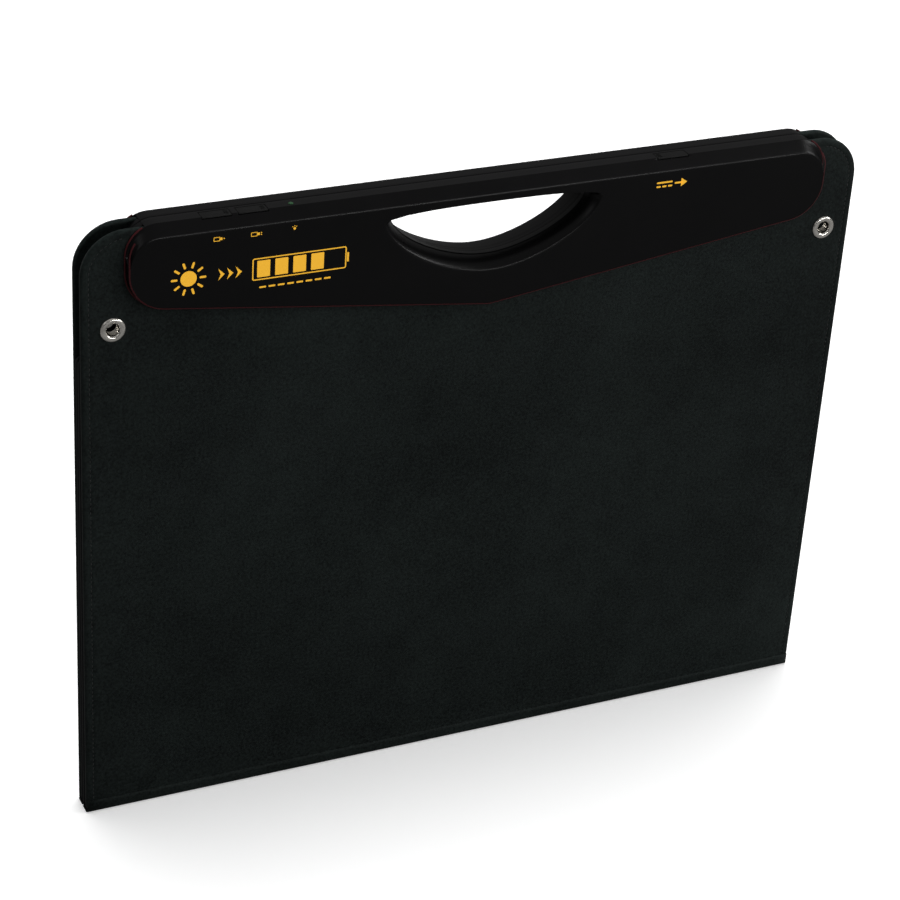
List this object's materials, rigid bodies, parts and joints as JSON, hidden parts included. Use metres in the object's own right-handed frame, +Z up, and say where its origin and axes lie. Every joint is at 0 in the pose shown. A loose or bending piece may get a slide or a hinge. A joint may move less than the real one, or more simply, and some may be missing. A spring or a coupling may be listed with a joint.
{
  "type": "folding solar suitcase kit",
  "caption": "Slim black fabric solar charging case that folds out like an accordion, with a moulded carry handle, USB and DC outlets and corner hanging eyelets.",
  "frame": {"origin": "on the ground under the middle of the folded kit, midway between its two outer faces", "axes": "+X along the carry handle, towards the DC outlet end; +Y from the front cover towards the rear cover; +Z up"},
  "size_m": [0.54, 0.0308, 0.4281],
  "materials": {
    "cover_fabric": "near-black coated pack cloth with a faint green tint",
    "liner_fabric": "black inner cloth",
    "stiffener": "grey stiffening board",
    "module_sheet": "dark laminate backing",
    "cell": "dark blue-black silicon under a clear film",
    "handle_plastic": "black satin moulding",
    "seal_rubber": "dark maroon seal",
    "nickel": "bright nickel plate",
    "steel": "plain steel",
    "circuit_board": "green circuit board",
    "aluminium": "bare aluminium",
    "ferrite": "dark ferrite",
    "led_lens": "green lens",
    "cap_rubber": "soft black rubber",
    "cable": "black cable jacket"
  },
  "bodies": {
    "front_spine": {"front_spine": "cover_fabric"},
    "front_cover": {"front_cover_skin": "cover_fabric", "front_cover_board": "stiffener", "front_cover_module_sheet": "module_sheet", "front_cover_cell_string": "cell", "front_cover_liner": "liner_fabric", "front_handle_shell": "handle_plastic", "front_handle_plate": "handle_plastic", "front_handle_seal": "seal_rubber", "front_handle_screw_1": "steel", "front_handle_screw_2": "steel", "front_handle_screw_3": "steel", "front_handle_screw_4": "steel", "front_left_closing_magnet": "nickel", "front_right_closing_magnet": "nickel", "front_left_eyelet": "nickel", "front_left_eyelet_washer": "nickel", "front_right_eyelet": "nickel", "front_right_eyelet_washer": "nickel", "usb_1_socket": "steel", "usb_2_socket": "steel", "dc_out_socket": "nickel", "charge_controller_board": "circuit_board", "controller_heat_sink": "aluminium", "controller_choke": "ferrite", "status_led_lens": "led_lens", "dc_out_lead": "cable"},
    "front_inner_leaf": {"front_inner_leaf_skin": "cover_fabric", "front_inner_leaf_board": "stiffener", "front_inner_leaf_module_sheet": "module_sheet", "front_inner_leaf_cell_string": "cell", "front_inner_leaf_liner": "liner_fabric"},
    "rear_inner_leaf": {"rear_inner_leaf_skin": "cover_fabric", "rear_inner_leaf_board": "stiffener", "rear_inner_leaf_module_sheet": "module_sheet", "rear_inner_leaf_cell_string": "cell", "rear_inner_leaf_liner": "liner_fabric"},
    "rear_spine": {"rear_spine": "cover_fabric"},
    "rear_cover": {"rear_cover_skin": "cover_fabric", "rear_cover_board": "stiffener", "rear_cover_module_sheet": "module_sheet", "rear_cover_cell_string": "cell", "rear_cover_liner": "liner_fabric", "rear_handle_shell": "handle_plastic", "rear_handle_plate": "handle_plastic", "rear_handle_seal": "seal_rubber", "rear_handle_screw_1": "steel", "rear_handle_screw_2": "steel", "rear_handle_screw_3": "steel", "rear_handle_screw_4": "steel", "rear_left_closing_magnet": "nickel", "rear_right_closing_magnet": "nickel", "rear_left_eyelet": "nickel", "rear_left_eyelet_washer": "nickel", "rear_right_eyelet": "nickel", "rear_right_eyelet_washer": "nickel"},
    "usb_1_cap": {"usb_1_cap": "cap_rubber"},
    "usb_2_cap": {"usb_2_cap": "cap_rubber"},
    "dc_out_cap": {"dc_out_cap": "cap_rubber"}
  },
  "joints": [
    {"name": "front_cover_fold", "type": "hinge", "parent": "front_spine", "child": "front_cover", "pos_m": [0, -0.00875, 0.00045], "axis": [1, 0, 0], "range_deg": [0, 88.9]},
    {"name": "inner_leaves_unfold", "type": "hinge", "parent": "front_spine", "child": "front_inner_leaf", "pos_m": [0, -0.00065, 0.00045], "axis": [-1, 0, 0], "range_deg": [0, 90]},
    {"name": "inner_top_fold", "type": "hinge", "parent": "front_inner_leaf", "child": "rear_inner_leaf", "pos_m": [0, 0, 0.3397], "axis": [1, 0, 0], "range_deg": [0, 180]},
    {"name": "rear_spine_fold", "type": "hinge", "parent": "rear_inner_leaf", "child": "rear_spine", "pos_m": [0, 0.00065, 0.00045], "axis": [-1, 0, 0], "range_deg": [0, 90]},
    {"name": "rear_cover_fold", "type": "hinge", "parent": "rear_spine", "child": "rear_cover", "pos_m": [0, 0.00875, 0.00045], "axis": [-1, 0, 0], "range_deg": [0, 88.9]},
    {"name": "usb_1_cap_hinge", "type": "hinge", "parent": "front_cover", "child": "usb_1_cap", "pos_m": [-0.194, -0.0064, 0.4276], "axis": [0, -1, 0], "range_deg": [0, 110]},
    {"name": "usb_2_cap_hinge", "type": "hinge", "parent": "front_cover", "child": "usb_2_cap", "pos_m": [-0.1705, -0.0064, 0.4276], "axis": [0, -1, 0], "range_deg": [0, 110]},
    {"name": "dc_out_cap_hinge", "type": "hinge", "parent": "front_cover", "child": "dc_out_cap", "pos_m": [0.1385, -0.0064, 0.4276], "axis": [0, 1, 0], "range_deg": [0, 110]}
  ],
  "couplings": [
    {"joint": "inner_top_fold", "follows": "inner_leaves_unfold", "ratio": 2},
    {"joint": "rear_spine_fold", "follows": "inner_leaves_unfold", "ratio": 1}
  ]
}
